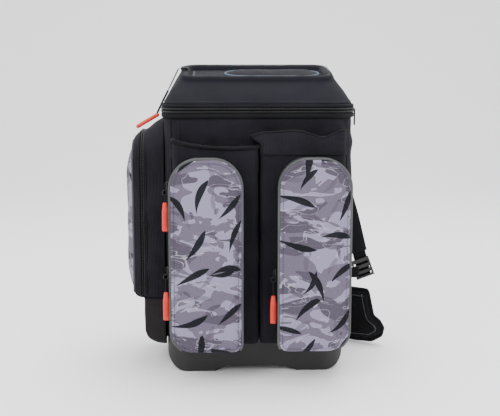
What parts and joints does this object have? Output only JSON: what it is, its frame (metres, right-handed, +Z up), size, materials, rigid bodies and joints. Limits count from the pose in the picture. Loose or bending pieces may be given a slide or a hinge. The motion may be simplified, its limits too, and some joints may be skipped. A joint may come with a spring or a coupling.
{
  "type": "tackle backpack",
  "caption": "Boxy fishing rucksack with a moulded base, hinged zipped lid, rod sleeves, printed front and side pockets and folding hip wings.",
  "frame": {"origin": "on the floor under the middle of the whole backpack, straps and wing included", "axes": "+X to the viewer's right seen from the front pockets, +Y towards the wearer's back, +Z up"},
  "size_m": [0.4482, 0.303, 0.4927],
  "materials": {
    "rubber_base": "matt moulded rubber, slightly dusty",
    "body_fabric": "black coated polyester weave",
    "gusset_fabric": "black ribbed polyester",
    "camo_fabric": "printed grey camouflage canvas",
    "piping_grey": "grey covered piping",
    "piping_blue": "blue-grey covered piping",
    "lid_eva": "twill laminated over moulded foam",
    "binding": "black binding tape",
    "zip_teeth": "black coil zip",
    "boot_fabric": "smooth coated polyester",
    "board": "black polypropylene board",
    "mesh_foam": "spacer mesh over foam",
    "webbing": "black woven webbing",
    "buckle_plastic": "black acetal",
    "dark_metal": "black nickel plate",
    "cord": "braided cord",
    "tag_rubber": "soft moulded red-orange rubber"
  },
  "bodies": {
    "pack": {"base_tray": "rubber_base", "floor_board": "board", "front_wall": "body_fabric", "back_wall": "body_fabric", "side_wall_left": "body_fabric", "side_wall_right": "body_fabric", "rim_band": "binding", "main_zip_lower": "zip_teeth", "rod_sleeve_left": "body_fabric", "rod_sleeve_right": "body_fabric", "sleeve_hem": "binding", "sleeve_collar": "body_fabric", "pocket_shell_left": "gusset_fabric", "pocket_shell_right": "gusset_fabric", "pocket_zip_left": "zip_teeth", "pocket_zip_right": "zip_teeth", "side_shell": "gusset_fabric", "side_boot": "boot_fabric", "side_zip": "zip_teeth", "frame_sheet": "board", "back_pad_left": "mesh_foam", "back_pad_right": "mesh_foam", "lumbar_pad": "mesh_foam", "strap_yoke": "body_fabric", "lower_webbing_left": "webbing", "lower_webbing_right": "webbing"},
    "lid": {"lid_shell": "lid_eva", "lid_band": "binding", "main_zip_upper": "zip_teeth", "lid_panel": "lid_eva", "lid_piping": "piping_blue"},
    "left_flap": {"pocket_flap_left": "camo_fabric", "pocket_piping_left": "piping_grey"},
    "right_flap": {"pocket_flap_right": "camo_fabric", "pocket_piping_right": "piping_grey"},
    "side_panel": {"side_flap": "camo_fabric", "side_piping": "piping_grey"},
    "upper_slider": {"slider_upper": "dark_metal"},
    "upper_pull": {"puller_upper": "dark_metal", "tag_upper": "tag_rubber"},
    "lower_slider": {"slider_lower": "dark_metal"},
    "lower_pull": {"puller_lower": "dark_metal", "tag_lower": "tag_rubber"},
    "valley_slider": {"slider_valley": "dark_metal"},
    "valley_pull": {"puller_valley": "dark_metal", "tag_valley": "tag_rubber"},
    "lid_top_slider": {"lid_slider": "dark_metal"},
    "lid_pull": {"lid_puller": "dark_metal", "lid_cord": "cord", "lid_tag": "tag_rubber"},
    "mouth_slider": {"main_slider": "dark_metal"},
    "mouth_pull": {"main_puller": "dark_metal"},
    "left_strap": {"shoulder_strap_left": "mesh_foam", "ladder_lock_left": "buckle_plastic"},
    "right_strap": {"shoulder_strap_right": "mesh_foam", "ladder_lock_right": "buckle_plastic"},
    "left_wing": {"hip_wing_left": "mesh_foam"},
    "right_wing": {"hip_wing_right": "mesh_foam"},
    "loop": {"haul_loop": "webbing"}
  },
  "joints": [
    {"name": "lid_hinge", "type": "hinge", "parent": "pack", "child": "lid", "pos_m": [-0.009, 0.1195, 0.42215], "axis": [-1, 0, 0], "range_deg": [0, 105]},
    {"name": "left_pocket_hinge", "type": "hinge", "parent": "pack", "child": "left_flap", "pos_m": [-0.092, -0.13165, 0.052], "axis": [1, 0, 0], "range_deg": [0, 85]},
    {"name": "right_pocket_hinge", "type": "hinge", "parent": "pack", "child": "right_flap", "pos_m": [0.074, -0.13165, 0.052], "axis": [1, 0, 0], "range_deg": [0, 85]},
    {"name": "side_pocket_hinge", "type": "hinge", "parent": "pack", "child": "side_panel", "pos_m": [-0.19415, 0.0185, 0.11715], "axis": [0, -1, 0], "range_deg": [0, 70]},
    {"name": "upper_slider_slide", "type": "slide", "parent": "pack", "child": "upper_slider", "axis": [0, 0, 1], "range_m": [-0.045, 0.006]},
    {"name": "upper_pull_hinge", "type": "hinge", "parent": "upper_slider", "child": "upper_pull", "pos_m": [-0.1543, -0.1315, 0.3038], "axis": [-1, 0, 0], "range_deg": [0, 90]},
    {"name": "lower_slider_slide", "type": "slide", "parent": "pack", "child": "lower_slider", "axis": [0, 0, 1], "range_m": [-0.08, 0.008]},
    {"name": "lower_pull_hinge", "type": "hinge", "parent": "lower_slider", "child": "lower_pull", "pos_m": [-0.1543, -0.1315, 0.1728], "axis": [-1, 0, 0], "range_deg": [0, 90]},
    {"name": "valley_slider_slide", "type": "slide", "parent": "pack", "child": "valley_slider", "axis": [0, 0, 1], "range_m": [-0.07, 0.125]},
    {"name": "valley_pull_hinge", "type": "hinge", "parent": "valley_slider", "child": "valley_pull", "pos_m": [0.0117, -0.1315, 0.1668], "axis": [-1, 0, 0], "range_deg": [0, 90]},
    {"name": "lid_slider_slide", "type": "slide", "parent": "lid", "child": "lid_top_slider", "axis": [0, 0.9903, 0.1392], "range_m": [-0.004, 0.03]},
    {"name": "lid_pull_hinge", "type": "hinge", "parent": "lid_top_slider", "child": "lid_pull", "pos_m": [-0.1335, 0.0185, 0.4875], "axis": [0, 1, 0], "range_deg": [0, 125]},
    {"name": "mouth_slider_slide", "type": "slide", "parent": "pack", "child": "mouth_slider", "axis": [0, 1, 0], "range_m": [-0.025, 0.085]},
    {"name": "mouth_pull_hinge", "type": "hinge", "parent": "mouth_slider", "child": "mouth_pull", "pos_m": [0.1512, -0.0115, 0.42215], "axis": [0, -1, 0], "range_deg": [0, 150]},
    {"name": "left_strap_hinge", "type": "hinge", "parent": "pack", "child": "left_strap", "pos_m": [-0.084, 0.1405, 0.404], "axis": [1, 0, 0], "range_deg": [0, 10]},
    {"name": "right_strap_hinge", "type": "hinge", "parent": "pack", "child": "right_strap", "pos_m": [0.066, 0.1405, 0.404], "axis": [1, 0, 0], "range_deg": [0, 10]},
    {"name": "left_wing_hinge", "type": "hinge", "parent": "pack", "child": "left_wing", "pos_m": [-0.127, 0.1375, 0.064], "axis": [0, 0, 1], "range_deg": [0, 175]},
    {"name": "right_wing_hinge", "type": "hinge", "parent": "pack", "child": "right_wing", "pos_m": [0.109, 0.1295, 0.064], "axis": [0, 0, 1], "range_deg": [0, 130]},
    {"name": "haul_loop_hinge", "type": "hinge", "parent": "pack", "child": "loop", "pos_m": [-0.009, 0.1335, 0.38], "axis": [1, 0, 0], "range_deg": [0, 165]}
  ]
}
